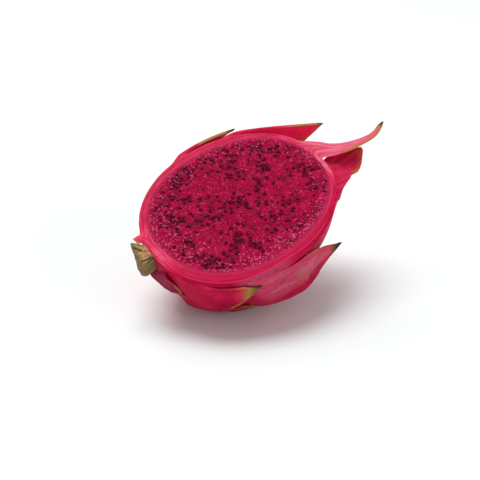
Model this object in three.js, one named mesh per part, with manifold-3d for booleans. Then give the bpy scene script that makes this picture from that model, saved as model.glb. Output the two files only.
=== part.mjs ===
// Half of a red-fleshed dragon fruit, cut lengthwise through its stem and crown. It lies on its
// round back, with the cut face turned up and forward.
// Millimetres, +Z up. The origin is on the surface it rests on, under the middle of its box.
//
// The fruit is shaped in a frame of its own and then laid down: X runs from the stem to the crown,
// Y runs across the cut, and Z is square to the cut face, which is at Z = 0 with the half below.
// A place round the fruit is an angle in degrees: 0 at the near edge of the cut (-Y), 90 at the
// middle of the belly (-Z) and 180 at the far edge of the cut (+Y).

import * as THREE from "three";
import { mergeVertices } from "three/addons/utils/BufferGeometryUtils.js";
import Module from "manifold-3d";

const wasm = await Module();
wasm.setup();

// ---- driving dimensions ----

const PITCH = 26; // degrees the cut face is tipped, rising away from the front
const SPIN = 42; // degrees the stem-to-crown line is turned within the cut face

const PEEL = { stem: 55, crown: 60, halfWidth: 47.6, shift: -0.6, skew: 0.055, fullness: 0.9 };
const FLESH = { stem: 48.5, crown: 57.2, halfWidth: 41.6, shift: 0.8, skew: 0, fullness: 0.88 };
const DEPTH_RATIO = 1.16; // how much deeper the belly is than the fruit's half width
const BODY_SIDES = 56; // facets round the fruit
const BODY_RINGS = 30; // facets from the stem to the crown

const LAYER_GAP = 0.3; // clearance between the flesh, the peel and the stem
const REST_HEIGHT = 54; // middle of the cut face above the surface it rests on
const REACH = 400; // size of the blocks that cut the fruit, past it on every side

const BRACT_ROWS = 10; // facets from a bract's root to its tip
const BRACT_COLUMNS = 6; // facets from one margin to the other
const ROOT_SINK = 2.5; // how deep a bract starts below the peel
const ROOT_RISE = 4; // height it gains from there
const RISE_SHARE = 0.3; // share of its length in which it gains that height
const ROOT_THICK = 8; // thickness where it leaves the peel, most of it sunk
const WIDEN_SHARE = 0.35; // share of its length in which it reaches its full width
const CURL_SHARE = 0.67; // share of its length in which it reaches its full curve across
const MARGIN_THIN = 0.5; // share of the thickness that is gone at the margins
const MARGIN_WAVES = 9; // radians of wave along a margin, from root to tip
const MARGIN_PHASE = 2; // radians that each margin's wave is off the middle's, to either side
const LEAST_THICK = 0.9; // thinnest that a margin or a tip may be
const LEAST_HALF_WIDTH = 0.8; // half the width of the dry tip
const NO_CURL = 1e-6; // curve across a flat bract, 1/mm, which keeps its arc defined
const MOST_CURL = 1.5; // radians that a bract curls to either side before it goes on straight
const LEAST_WRAP = 14; // tightest round that a bract wraps across, near the fruit's ends

const SEED_COUNT = 300;
const SEED_LONG = 1.15; // half the length of a seed
const SEED_WIDE = 0.72; // half its width
const SEED_SPACING = 2.4; // least distance between the middles of two seeds
const SEED_MARGIN = 4; // clear band inside the edge of the flesh
const SEED_SPARSE = 0.3; // how thickly seeds lie between the clusters, as a share of inside them

const COLOUR = { peel: 0xc9174f, flesh: 0xb30a3c, stem: 0x8c7a4a };

// ---- solids ----

function solidOf(geometry) {
  const bare = geometry.clone();
  bare.deleteAttribute("normal");
  bare.deleteAttribute("uv");
  const merged = mergeVertices(bare);
  return new wasm.Manifold(new wasm.Mesh({
    numProp: 3,
    vertProperties: new Float32Array(merged.attributes.position.array),
    triVerts: new Uint32Array(merged.index.array),
  }));
}

function meshOf(name, solid, colour, roughness) {
  const { vertProperties, triVerts } = solid.getMesh();
  const geometry = new THREE.BufferGeometry();
  geometry.setAttribute("position", new THREE.BufferAttribute(vertProperties, 3));
  geometry.setIndex(new THREE.BufferAttribute(triVerts, 1));
  geometry.computeVertexNormals();
  const mesh = new THREE.Mesh(geometry, new THREE.MeshStandardMaterial({ color: colour, roughness }));
  mesh.name = name;
  return mesh;
}

const laidDown = new THREE.Matrix4().makeRotationFromEuler(new THREE.Euler(
  THREE.MathUtils.degToRad(PITCH), 0, THREE.MathUtils.degToRad(SPIN), "XYZ"));

// Everything above the cut face, and everything under the surface that the half rests on.
function knifeBlock() {
  return solidOf(new THREE.BoxGeometry(REACH, REACH, REACH).translate(0, 0, REACH / 2));
}

function floorBlock() {
  const block = new THREE.BoxGeometry(REACH, REACH, REACH).translate(0, 0, -REACH / 2 - REST_HEIGHT);
  return solidOf(block.applyMatrix4(laidDown.clone().invert()));
}

// ---- the round body ----

function endReach(layer, x) {
  return x > 0 ? layer.crown : layer.stem;
}

// Distance of a layer's skin from the stem-to-crown line, at a station x.
function radiusAt(layer, x) {
  const share = Math.min(1, Math.abs(x / endReach(layer, x)));
  return layer.halfWidth * Math.pow(1 - share * share, layer.fullness / 2);
}

function roundPoint(layer, x, angle, radius) {
  const turn = THREE.MathUtils.degToRad(angle);
  const y = layer.shift - radius * Math.cos(turn);
  return new THREE.Vector3(x + layer.skew * y, y, -radius * DEPTH_RATIO * Math.sin(turn));
}

function ovoid(layer, swell = 0) {
  const geometry = new THREE.SphereGeometry(1, BODY_SIDES, BODY_RINGS).rotateZ(-Math.PI / 2);
  const place = geometry.attributes.position;
  for (let i = 0; i < place.count; i++) {
    const [x, y, z] = [place.getX(i), place.getY(i), place.getZ(i)];
    const side = Math.max(Math.hypot(y, z), 1e-9);
    const round = Math.pow(side, layer.fullness) / side;
    const wide = layer.shift + y * round * (layer.halfWidth + swell);
    const deep = z * round * (layer.halfWidth * DEPTH_RATIO + swell);
    place.setXYZ(i, x * (endReach(layer, x) + swell) + layer.skew * wide, wide, deep);
  }
  return solidOf(geometry);
}

// ---- bracts ----

// The way the outside looks at an angle round the fruit, leaning to the crown or to the stem.
function outward(angle, lean = 0, flatness = 1) {
  const turn = THREE.MathUtils.degToRad(angle);
  return new THREE.Vector3(lean, -Math.cos(turn), -Math.sin(turn) / flatness).normalize();
}

function peelOutward(x, angle) {
  const reach = endReach(PEEL, x);
  const share = THREE.MathUtils.clamp(x / reach, -0.99, 0.99);
  const lean = PEEL.halfWidth * PEEL.fullness * share / reach
    * Math.pow(1 - share * share, PEEL.fullness / 2 - 1);
  return outward(angle, lean, DEPTH_RATIO);
}

// Layout of a bract that follows the peel from x = `from`, at an angle round the fruit that
// drifts by `drift` towards its tip. The tip stands `flare` off the peel, `flat` is the share of
// the peel's curve that it doesn't follow across, and `roll` lifts one margin above the other.
function followPeel({ from, long, round, drift = 0, rise = ROOT_RISE, flare = 2, flat = 0.5, roll = 0 }) {
  return (u, v, half) => {
    const x = from + long * u;
    const radius = Math.max(radiusAt(PEEL, x), LEAST_WRAP);
    const side = v * half;
    const angle = round + drift * u + THREE.MathUtils.radToDeg(side / radius);
    const facing = peelOutward(x, angle);
    const lift = -ROOT_SINK + rise * Math.min(1, u / RISE_SHARE) + flare * u * u
      + roll * u * v + flat * u * side * side / (2 * radius);
    return { face: roundPoint(PEEL, x, angle, radiusAt(PEEL, x)).addScaledVector(facing, lift), facing };
  };
}

// Layout of a bract along a line of its own. `looks` is the outward direction at its root and at
// its tip, `curl` the curve across it there (1/mm), and `slant` moves one margin ahead.
function followLine({ points, looks, curl = [0, 0], slant = 0 }) {
  const line = new THREE.CatmullRomCurve3(points, false, "centripetal");
  return (u, v, half) => {
    const ahead = line.getTangent(u);
    const across = ahead.clone().cross(looks[0].clone().lerp(looks[1], u)).normalize();
    const out = across.clone().cross(ahead);
    const bend = THREE.MathUtils.lerp(curl[0], curl[1], Math.min(1, u / CURL_SHARE)) + NO_CURL;
    const side = v * half;
    const turn = THREE.MathUtils.clamp(side * bend, -MOST_CURL, MOST_CURL);
    const straight = side - turn / bend;
    const face = line.getPoint(u)
      .addScaledVector(across, Math.sin(turn) / bend + straight * Math.cos(turn))
      .addScaledVector(out, (Math.cos(turn) - 1) / bend - straight * Math.sin(turn))
      .addScaledVector(ahead, slant * side * u);
    return { face, facing: out.multiplyScalar(Math.cos(turn)).addScaledVector(across, Math.sin(turn)) };
  };
}

// A leaf-like scale as one closed body: outer face, inner face, margins and root. `wide` is half
// its greatest width and `waist` the share of it that the root has. It narrows late when `blunt`
// is large and to a long point when `sharp` is. The flesh of its root fades into the blade sooner
// when `fade` is large.
function bract(layout, {
  wide, waist = 0.8, thick = 1.6, rootThick = ROOT_THICK, blunt = 2.5, sharp = 1.3, fade = 4, wave = 0.5,
}) {
  const outer = [];
  const inner = [];
  for (let row = 0; row <= BRACT_ROWS; row++) {
    const u = row / BRACT_ROWS;
    const spread = THREE.MathUtils.lerp(waist, 1, Math.sin(Math.PI / 2 * Math.min(1, u / WIDEN_SHARE)));
    const taper = Math.pow(1 - Math.pow(u, blunt), sharp);
    const half = Math.max(LEAST_HALF_WIDTH, wide * spread * taper);
    const body = thick + (rootThick - thick) * Math.pow(1 - u, fade);
    for (let column = 0; column <= BRACT_COLUMNS; column++) {
      const v = 2 * column / BRACT_COLUMNS - 1;
      const { face, facing } = layout(u, v, half);
      const depth = Math.max(LEAST_THICK, body * (1 - MARGIN_THIN * v * v));
      face.addScaledVector(facing, wave * u * v * v * Math.sin(MARGIN_WAVES * u + MARGIN_PHASE * v));
      outer.push(face);
      inner.push(face.clone().addScaledVector(facing, -depth));
    }
  }
  return solidOf(closedSheet(outer, inner, BRACT_ROWS, BRACT_COLUMNS));
}

// Two matching grids of points, closed along their four sides. Both faces split their cells
// along the same diagonal, so that a thin waved sheet never meets itself.
function closedSheet(outer, inner, rows, columns) {
  const index = [];
  const top = (row, column) => row * (columns + 1) + column;
  const under = (row, column) => outer.length + top(row, column);
  for (let row = 0; row < rows; row++) {
    for (let column = 0; column < columns; column++) {
      const [a, b] = [[row, column], [row + 1, column]];
      const [c, d] = [[row + 1, column + 1], [row, column + 1]];
      index.push(top(...a), top(...c), top(...b), top(...a), top(...d), top(...c));
      index.push(under(...a), under(...b), under(...c), under(...a), under(...c), under(...d));
    }
  }
  const wall = (p, q) => index.push(top(...p), top(...q), under(...q), top(...p), under(...q), under(...p));
  for (let row = 0; row < rows; row++) {
    wall([row, 0], [row + 1, 0]);
    wall([row + 1, columns], [row, columns]);
  }
  for (let column = 0; column < columns; column++) {
    wall([0, column + 1], [0, column]);
    wall([rows, column], [rows, column + 1]);
  }
  const geometry = new THREE.BufferGeometry();
  geometry.setAttribute("position", new THREE.Float32BufferAttribute(
    [...outer, ...inner].flatMap((p) => p.toArray()), 3));
  geometry.setIndex(index);
  return geometry;
}

const at = (x, y, z) => new THREE.Vector3(x, y, z);

// Bracts that follow the peel, near side first and then round the belly to the far edge.
const HUGGING = [
  {
    from: -57, long: 36, round: 30, drift: -27, flare: 1.5, roll: 0.4,
    wide: 17, waist: 0.3, blunt: 3, sharp: 1.5,
  },
  { from: -45, long: 29, round: 62, drift: -30, flare: 1, wide: 12, waist: 0.5 },
  { from: -40, long: 34, round: 108, drift: -4, flare: 5.5, wide: 14 },
  { from: -20, long: 36, round: 74, drift: 4, flare: 6, wide: 15 },
  { from: -46, long: 34, round: 150, drift: 2, flare: 3, wide: 12, waist: 0.5 },
  { from: -12, long: 42, round: 124, drift: 4, flare: 7, wide: 15 },
  { from: 8, long: 42, round: 92, drift: 2, flare: 9, wide: 14 },
  { from: -54, long: 11, round: 172, rise: 2.4, flare: 0.3, wide: 5, waist: 0.6 },
  { from: -15, long: 46, round: 178, drift: 2, rise: 4.8, flare: 2.6, wide: 15 },
];

// Bracts whose lines leave the peel: the flared one in front, those of the crown and two at the
// stem. Each is a line along the middle of its outer face.
const FREE = [
  // Large flared bract on the near side.
  {
    points: [
      at(-35, -35.3, -17), at(-20.4, -46.9, -16.3), at(-8.3, -49.9, -14.4),
      at(4.4, -51.3, -13.2), at(18, -49.7, -12.5), at(35.1, -48.3, -14.8),
    ],
    looks: [outward(14), outward(-12, 0.15)], curl: [0.021, 0.008],
    wide: 24.5, waist: 0.7, thick: 1.5, blunt: 2.1, sharp: 1.2,
  },
  // Crown bract that the knife split from root to tip.
  {
    points: [
      at(46, 6, 0), at(61, -6, 0), at(70, -10.3, 0),
      at(82, -13.3, 0), at(95, -13.8, 0), at(106.7, -8.2, 0),
    ],
    looks: [outward(50), outward(50)],
    wide: 17, thick: 3, rootThick: 15, blunt: 1.8, sharp: 1, fade: 2.6,
  },
  // Broad crown bract on the near side, a shallow scoop whose inner face runs on from the cut.
  {
    points: [
      at(17.1, -30.4, -11.7), at(34.3, -25.6, -9.4), at(51.8, -17.2, -6.5),
      at(64.4, -14.5, -8.5), at(74, -14, -9.8), at(85.9, -12, -5.4),
    ],
    looks: [outward(90), outward(90)], curl: [0, 0.08], slant: 0.5,
    wide: 11.5, waist: 1, thick: 1.6, blunt: 6, sharp: 1, fade: 1,
  },
  // Long crown bract on the far side, cut along its middle.
  {
    points: [
      at(10, 43, 0), at(22, 47, 0), at(33.4, 45.3, 0),
      at(50, 34.6, 0), at(66, 23.6, 0), at(80, 13.4, 0),
    ],
    looks: [outward(180), outward(180)], curl: [0.02, 0.04],
    wide: 19, thick: 1.5, blunt: 7, sharp: 1,
  },
  // Crown bract on the belly, under the two in front.
  {
    points: [at(28, 6, -47), at(42, 6, -42), at(55, 5, -36), at(66, 3, -31.5), at(78, 0, -28)],
    looks: [outward(98), outward(98, -0.5)], curl: [0.02, 0.03],
    wide: 14, thick: 1.6, blunt: 3, sharp: 1.2,
  },
  // Crown bract between the belly and the far side.
  {
    points: [at(28, 33, -28), at(41, 29.5, -26), at(54, 23.5, -23.5), at(64, 18, -22), at(73, 12, -21.5)],
    looks: [outward(145), outward(140, -0.4)], curl: [0.02, 0.03],
    wide: 12, thick: 1.6, blunt: 3, sharp: 1.2,
  },
  // Short bract beside the stem, on the near side.
  {
    points: [at(-51, 4, -4), at(-56, -2.5, -9.5), at(-55.3, -10.5, -13), at(-51.5, -17.5, -17)],
    looks: [outward(25, -1.3), outward(30, -1)],
    wide: 8.5, waist: 0.9, thick: 1.8, blunt: 2.5, sharp: 1,
  },
  // Neck of peel that runs out along the stem, on the far side.
  {
    points: [at(-41, 12.5, 0), at(-46.5, 17.8, 0), at(-50.8, 19.2, 0), at(-55.2, 19.4, 0)],
    looks: [outward(180), outward(180)],
    wide: 6, thick: 4.5, rootThick: 13, blunt: 3, sharp: 1, fade: 1.1,
  },
];

function bractBundle() {
  const scales = [
    ...HUGGING.map((spec) => bract(followPeel(spec), spec)),
    ...FREE.map((spec) => bract(followLine(spec), spec)),
  ];
  return scales.reduce((whole, scale) => whole.add(scale));
}

// ---- the stem ----

const STEM = {
  from: [-49, 5.2, 0], to: [-61, 8.6, -0.6], // along its middle, root to free end
  root: 2.2, end: 9.7, flare: 1.7, // radius at either end, and how late it widens
  rootBelow: 7.5, endBelow: 1.6, // how much further it reaches on its under side
  worn: 0.16, wornFrom: 0.72, // share of the radius that is rounded off at the free end
  lobes: 3, lobeDepth: 0.24, lobeAt: 252, sides: 36, rings: 8,
};

// Short cut piece of the three-ribbed stem, flaring to its free end and hanging lowest below.
function stemSolid(swell = 0) {
  const [from, to] = [at(...STEM.from), at(...STEM.to)];
  const ahead = to.clone().sub(from).normalize();
  const line = new THREE.LineCurve3(from, to.addScaledVector(ahead, swell));
  const geometry = new THREE.CylinderGeometry(1, 1, 1, STEM.sides, STEM.rings);
  const place = geometry.attributes.position;
  const side = new THREE.Vector3(0, 0, 1);
  const across = ahead.clone().cross(side);
  for (let i = 0; i < place.count; i++) {
    const [x, y, z] = [place.getX(i), place.getY(i), place.getZ(i)];
    const share = y + 0.5;
    const turn = Math.atan2(z, x);
    const below = Math.max(0, -Math.sin(turn));
    const [root, end] = [STEM.root + STEM.rootBelow * below, STEM.end + STEM.endBelow * below];
    const lobe = 1 + STEM.lobeDepth * Math.cos(STEM.lobes * (turn - THREE.MathUtils.degToRad(STEM.lobeAt)));
    const late = Math.max(0, (share - STEM.wornFrom) / (1 - STEM.wornFrom));
    const wide = THREE.MathUtils.lerp(root, end, Math.pow(share, STEM.flare)) * lobe * (1 - STEM.worn * late * late);
    const radius = Math.hypot(x, z) * (wide + swell);
    const point = line.getPoint(share);
    point.addScaledVector(across, radius * Math.cos(turn)).addScaledVector(side, radius * Math.sin(turn));
    place.setXYZ(i, point.x, point.y, point.z);
  }
  return solidOf(geometry);
}

// ---- the seeds ----

// Where the seeds lie thickest on the cut face.
const SEED_CLUSTERS = [
  { x: -34, y: 3, spread: 8 },
  { x: -13, y: 6, spread: 8 },
  { x: 2, y: 2, spread: 7 },
  { x: 22, y: 6, spread: 5 },
  { x: 47, y: -5, spread: 7 },
  { x: 31, y: 29, spread: 8 },
  { x: 2, y: 36, spread: 9 },
  { x: 14, y: 21, spread: 6 },
  { x: -15, y: 25, spread: 7 },
  { x: 20, y: -31, spread: 8 },
  { x: 11, y: -20, spread: 6 },
  { x: -35, y: -20, spread: 8 },
  { x: -26, y: -30, spread: 5 },
  { x: 4, y: -37, spread: 5 },
];

// Repeatable random numbers from 0 to 1.
function randomFrom(seed) {
  let state = seed >>> 0;
  return () => {
    state = (state + 0x6d2b79f5) >>> 0;
    let mixed = Math.imul(state ^ (state >>> 15), state | 1);
    mixed ^= mixed + Math.imul(mixed ^ (mixed >>> 7), mixed | 61);
    return ((mixed ^ (mixed >>> 14)) >>> 0) / 4294967296;
  };
}

function insideFlesh(x, y, margin) {
  return Math.abs(y - FLESH.shift) < radiusAt(FLESH, x) - margin
    && x > -FLESH.stem + margin && x < FLESH.crown - margin;
}

// Chance that a seed is kept at a place: 1 in the middle of a cluster.
function seedDensity(x, y) {
  const nearness = SEED_CLUSTERS.map((c) => {
    const reach = Math.hypot(x - c.x, y - c.y) / c.spread;
    return Math.exp(-reach * reach / 2);
  });
  return SEED_SPARSE + (1 - SEED_SPARSE) * Math.max(...nearness);
}

function seedPlaces() {
  const random = randomFrom(7);
  const places = [];
  while (places.length < SEED_COUNT) {
    const x = THREE.MathUtils.lerp(-FLESH.stem, FLESH.crown, random());
    const y = THREE.MathUtils.lerp(-FLESH.halfWidth, FLESH.halfWidth, random());
    const turn = Math.PI * random();
    const kept = random() < seedDensity(x, y);
    const free = places.every((p) => Math.hypot(p.x - x, p.y - y) > SEED_SPACING);
    if (kept && free && insideFlesh(x, y, SEED_MARGIN)) places.push({ x, y, turn });
  }
  return places;
}

function seedSolid({ x, y, turn }) {
  const seed = new THREE.OctahedronGeometry(1).scale(SEED_LONG, SEED_WIDE, SEED_WIDE);
  return solidOf(seed.rotateZ(turn).translate(x, y, 0));
}

// ---- the pieces ----

const knife = knifeBlock();
const floor = floorBlock();

const stem = stemSolid().subtract(ovoid(PEEL, LAYER_GAP)).subtract(knife);

const peel = bractBundle()
  .subtract(stemSolid(LAYER_GAP))
  .add(ovoid(PEEL))
  .subtract(ovoid(FLESH, LAYER_GAP))
  .subtract(knife)
  .subtract(floor);

const flesh = seedPlaces()
  .reduce((whole, place) => whole.add(seedSolid(place)), ovoid(FLESH).subtract(knife));

const fruit = new THREE.Group();
fruit.add(
  meshOf("peel", peel, COLOUR.peel, 0.45),
  meshOf("flesh", flesh, COLOUR.flesh, 0.25),
  meshOf("stem_stub", stem, COLOUR.stem, 0.8),
);
fruit.setRotationFromMatrix(laidDown);
fruit.position.z = REST_HEIGHT;

// Stand the middle of the whole box over the origin.
const part = new THREE.Group();
part.add(fruit);
part.updateMatrixWorld(true);
const middle = new THREE.Box3().setFromObject(part, true).getCenter(new THREE.Vector3());
fruit.position.x -= middle.x;
fruit.position.y -= middle.y;
part.updateMatrixWorld(true);

export default part;
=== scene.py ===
# Half of a red-fleshed dragon fruit, cut lengthwise and lying on its round back: waxy peel with
# leaf-like bracts, wet crimson flesh full of black seeds, and the dry stub of its stem.
# Shapes are worked out in millimetres in the fruit's own frame and laid down in metres at the end:
# X runs from the stem to the crown, Y across the cut, and the cut face is at Z = 0, half below.
# A place round the fruit is an angle in degrees: 0 at the near edge of the cut (-Y), 90 at the
# middle of the belly (-Z) and 180 at the far edge of the cut (+Y).

import math
import random

import bmesh
import bpy
from mathutils import Matrix, Vector, geometry, noise
from mathutils.bvhtree import BVHTree
from mathutils.kdtree import KDTree


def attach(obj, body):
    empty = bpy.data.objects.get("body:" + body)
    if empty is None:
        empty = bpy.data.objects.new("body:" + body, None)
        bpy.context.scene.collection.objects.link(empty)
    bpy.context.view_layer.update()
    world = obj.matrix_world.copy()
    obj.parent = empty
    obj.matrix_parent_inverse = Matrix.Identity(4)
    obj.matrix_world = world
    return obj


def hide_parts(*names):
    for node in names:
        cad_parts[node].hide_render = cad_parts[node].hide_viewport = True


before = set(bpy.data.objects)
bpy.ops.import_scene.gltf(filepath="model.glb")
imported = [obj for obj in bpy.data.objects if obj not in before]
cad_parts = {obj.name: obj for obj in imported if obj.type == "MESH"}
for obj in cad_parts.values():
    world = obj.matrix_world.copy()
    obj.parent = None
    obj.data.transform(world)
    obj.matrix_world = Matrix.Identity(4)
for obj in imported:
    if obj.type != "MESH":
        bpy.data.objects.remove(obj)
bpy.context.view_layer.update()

# ---- driving dimensions, in millimetres and degrees ----

MM = 0.001
PITCH = 26  # the cut face is tipped, rising away from the front
SPIN = 42  # the stem-to-crown line is turned within the cut face
CUT_MIDDLE = Vector((-14.69, -6.04, 54.0))  # where the middle of the cut lies over the floor

PEEL = {"stem": 55, "crown": 60, "half_width": 47.6, "shift": -0.6, "skew": 0.055, "fullness": 0.9}
FLESH = {"stem": 48.5, "crown": 57.2, "half_width": 41.6, "shift": 0.8, "skew": 0, "fullness": 0.88}
DEPTH_RATIO = 1.16  # how much deeper the belly is than the fruit's half width
FLESH_CLEARANCE = 0.05
STEM_CLEARANCE = 0.1
REACH = 400  # size of the blocks that cut the fruit

ROOT_SINK = 2.5  # how deep a bract starts below the peel
RISE_SHARE = 0.3  # share of its length in which it gains its height
WIDEN_SHARE = 0.35  # share of its length in which it reaches its full width
CURL_SHARE = 0.67  # share of its length in which it reaches its full curve across
MARGIN_WAVE = 0.5  # how far a margin waves at the tip
MARGIN_WAVES = 9.0  # radians of wave along a margin, from root to tip
MARGIN_PHASE = 2.0  # radians by which the two margins wave apart from the middle
LEAST_THICK = 0.55
LEAST_HALF_WIDTH = 0.7
LEAST_WRAP = 14.0  # least radius that a bract is wrapped round
FLATTEN = 0.5  # how much less than the peel a bract curves across
MOST_CURL = 1.5  # radians that a bract curls to either side before it goes on straight
NO_CURL = 1e-6  # stands for no curl at all, and can be divided by

X, Y = range(2)  # axes of the cut face

TIP_OVER = (Matrix.Rotation(math.radians(PITCH), 4, "X")
            @ Matrix.Rotation(math.radians(SPIN), 4, "Z"))
LAY_DOWN = Matrix.Scale(MM, 4) @ Matrix.Translation(CUT_MIDDLE) @ TIP_OVER


def clamp(value, low, high):
    return max(low, min(high, value))


def blend(low, high, value):
    """Smooth step: 0 at `low` and before it, 1 at `high` and past it."""
    share = clamp((value - low) / (high - low), 0, 1)
    return share * share * (3 - 2 * share)


def past(place, edges):
    """How far a place lies past every one of some soft edges: 0 outside, 1 well inside. An edge
    is an axis, where along it the edge starts and where it is passed."""
    return math.prod(blend(start, full, place[axis]) for axis, start, full in edges)


# ---- the round body ----


def ball(sides, rings):
    """A ball of radius 1, its poles along Z."""
    bm = bmesh.new()
    bmesh.ops.create_uvsphere(bm, u_segments=sides, v_segments=rings, radius=1)
    return bm


def end_reach(layer, x):
    """How far a layer reaches along the fruit, to the crown or to the stem."""
    return layer["crown"] if x > 0 else layer["stem"]


def radius_at(layer, x):
    share = min(1, abs(x / end_reach(layer, x)))
    return layer["half_width"] * (1 - share * share) ** (layer["fullness"] / 2)


def peel_point(x, angle):
    """Point of the peel's skin at a place along the fruit and an angle round it."""
    turn, radius = math.radians(angle), radius_at(PEEL, x)
    y = PEEL["shift"] - radius * math.cos(turn)
    return Vector((x + PEEL["skew"] * y, y, -radius * DEPTH_RATIO * math.sin(turn)))


def on_ovoid(layer, way, swell=0.0):
    """Point of a layer's skin for a point `way` of the unit ball."""
    side = max(math.hypot(way.y, way.z), 1e-9)
    fuller = side ** layer["fullness"] / side
    y = layer["shift"] + way.y * fuller * (layer["half_width"] + swell)
    z = way.z * fuller * (layer["half_width"] * DEPTH_RATIO + swell)
    return Vector((way.x * (end_reach(layer, way.x) + swell) + layer["skew"] * y, y, z))


def ovoid(layer, sides, rings, swell=0.0, relief=None):
    """A layer's whole ovoid, its poles at the stem and the crown."""
    bm = ball(sides, rings)
    bmesh.ops.rotate(bm, verts=bm.verts, matrix=Matrix.Rotation(math.pi / 2, 3, "Y"))
    for vert in bm.verts:
        place = on_ovoid(layer, vert.co, swell)
        vert.co = place + (place.normalized() * relief(place) if relief else Vector())
    return bm


# ---- bracts: where each one lies ----


def outward(angle, lean=0.0, flatness=1.0):
    """The way the outside looks at an angle round the fruit, leaning to the crown or the stem."""
    turn = math.radians(angle)
    return Vector((lean, -math.cos(turn), -math.sin(turn) / flatness)).normalized()


def peel_outward(x, angle):
    """The way the peel's skin looks there."""
    reach = end_reach(PEEL, x)
    share = clamp(x / reach, -0.99, 0.99)
    steep = (1 - share * share) ** (PEEL["fullness"] / 2 - 1)
    lean = PEEL["half_width"] * PEEL["fullness"] * share / reach * steep
    return outward(angle, lean, DEPTH_RATIO)


def follow_peel(spec):
    """Layout of a bract that follows the peel: place and outward direction for a share `u` of its
    length, a share `v` of its width from -1 to 1, and half its width there."""

    def layout(u, v, half):
        x = spec["start"] + spec["long"] * u
        radius = max(radius_at(PEEL, x), LEAST_WRAP)
        side = v * half
        angle = spec["round"] + spec["drift"] * u + math.degrees(side / radius)
        facing = peel_outward(x, angle)
        lift = -ROOT_SINK + spec["rise"] * min(1, u / RISE_SHARE) + spec["flare"] * u * u
        lift += spec["roll"] * u * v + FLATTEN * u * side * side / (2 * radius)
        return peel_point(x, angle) + facing * lift, facing

    return layout


def smooth_line(points):
    """Centripetal Catmull-Rom curve through the points, at a share `u` of the way."""
    knots = [2 * points[0] - points[1], *points, 2 * points[-1] - points[-2]]

    def at(u):
        along = clamp(u, 0, 1) * (len(points) - 1)
        first = min(int(along), len(points) - 2)
        t = along - first
        before, start, end, after = knots[first:first + 4]
        d0, d1, d2 = (math.sqrt((q - p).length) for p, q in
                      ((before, start), (start, end), (end, after)))
        leave = ((start - before) / d0 - (end - before) / (d0 + d1) + (end - start) / d1) * d1
        arrive = ((end - start) / d1 - (after - start) / (d1 + d2) + (after - end) / d2) * d1
        square = (end - start) * 3 - leave * 2 - arrive
        cube = (start - end) * 2 + leave + arrive
        return start + leave * t + square * t * t + cube * t ** 3

    return at


def follow_line(spec):
    """Layout of a bract along a line of its own, given as `follow_peel` gives it."""
    line = smooth_line([Vector(point) for point in spec["points"]])
    looks, curl = spec["looks"], spec["curl"]
    step = 1e-3  # share of the length over which the line's direction is taken

    def layout(u, v, half):
        ahead = (line(u + step) - line(u - step)).normalized()
        across = ahead.cross(looks[0].lerp(looks[1], u)).normalized()
        out = across.cross(ahead)
        bend = curl[0] + (curl[1] - curl[0]) * min(1, u / CURL_SHARE) + NO_CURL
        side = v * half
        turn = clamp(side * bend, -MOST_CURL, MOST_CURL)
        straight = side - turn / bend
        face = line(u) + across * (math.sin(turn) / bend + straight * math.cos(turn))
        face += out * ((math.cos(turn) - 1) / bend - straight * math.sin(turn))
        facing = out * math.cos(turn) + across * math.sin(turn)
        return face + ahead * spec["slant"] * side * u, facing

    return layout


# What a bract is like unless its own entry says otherwise. `wide` is half its width, `waist` the
# share of that at the root, `blunt` and `sharp` are powers that shape the tip, and `thick` becomes
# `root_thick` at the root, the later the higher `fade` is. `green` is how far it turns orange and
# then green along its margin at v = -1, along the other, and at its tip from `tip_from` on. The wax
# mark is how thick the mauve bloom lies at v = -1, in the middle and at v = 1, a bloom whose colour
# is partly a painted sheen. The tip is dry from `dry_from`, the edge that the knife left is brown
# from `brown_from`, and the inner face is clear from `inner_from`. The glow mark is painted light:
# how much that face is brightened as if light came through it. The shade mark is painted shade: how
# much darker the first half is. `cork` holds patches: how far along, how far across, half their
# length and width.
USUAL = dict(waist=0.8, blunt=2.5, sharp=1.3, thick=1.6, root_thick=8.0, fade=4,
             green=(0.6, 0.6, 0.8), tip_from=0.75, wax=(0.6, 0.6, 0.6), dry_from=0.9, brown_from=2,
             inner_from=0, thin=0, deep=0, cork=())

# Bracts that follow the peel. They start at `start` along the fruit and `round` it by an angle that
# drifts by `drift`. They rise by `rise` over their sunken root, their tips stand `flare` off the
# skin, and `roll` lifts one margin over the other.
HUGGING = [USUAL | dict(drift=0, rise=4.0, roll=0) | own for own in (
    dict(name="near_stem", start=-57, long=36, round=30, drift=-27, flare=1.5, roll=0.4, wide=17,
         waist=0.3, blunt=3, sharp=1.5, green=(0.7, 0.75, 1.1), tip_from=0.58,
         wax=(0.15, 0.15, 0.2), dry_from=0.95, inner_from=0.55,
         cork=[(0.68, 0.05, 0.04, 0.12), (0.6, 0.5, 0.03, 0.1), (0.7, -0.8, 0.3, 0.25)]),
    dict(name="near_belly", start=-45, long=29, round=62, drift=-30, flare=1, wide=12, waist=0.5,
         green=(0.75, 0.5, 0.9), wax=(0.2, 0.2, 0.2), deep=0.5),
    dict(name="under_stem", start=-40, long=34, round=108, drift=-4, flare=5.5, wide=14),
    dict(name="under_near", start=-20, long=36, round=74, drift=4, flare=6, wide=15),
    dict(name="far_stem", start=-46, long=34, round=150, drift=2, flare=3, wide=12, waist=0.5),
    dict(name="under_far", start=-12, long=42, round=124, drift=4, flare=7, wide=15),
    dict(name="under_crown", start=8, long=42, round=92, drift=2, flare=9, wide=14),
    dict(name="far_rim_small", start=-54, long=11, round=172, rise=2.4, flare=0.3, wide=5,
         waist=0.6),
    dict(name="far_rim", start=-15, long=50, round=178, drift=2, rise=4.8, flare=2.8, wide=15,
         green=(0.9, 0.9, 1.0), dry_from=0.92, brown_from=0.5, thin=0.1),
)]

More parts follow.
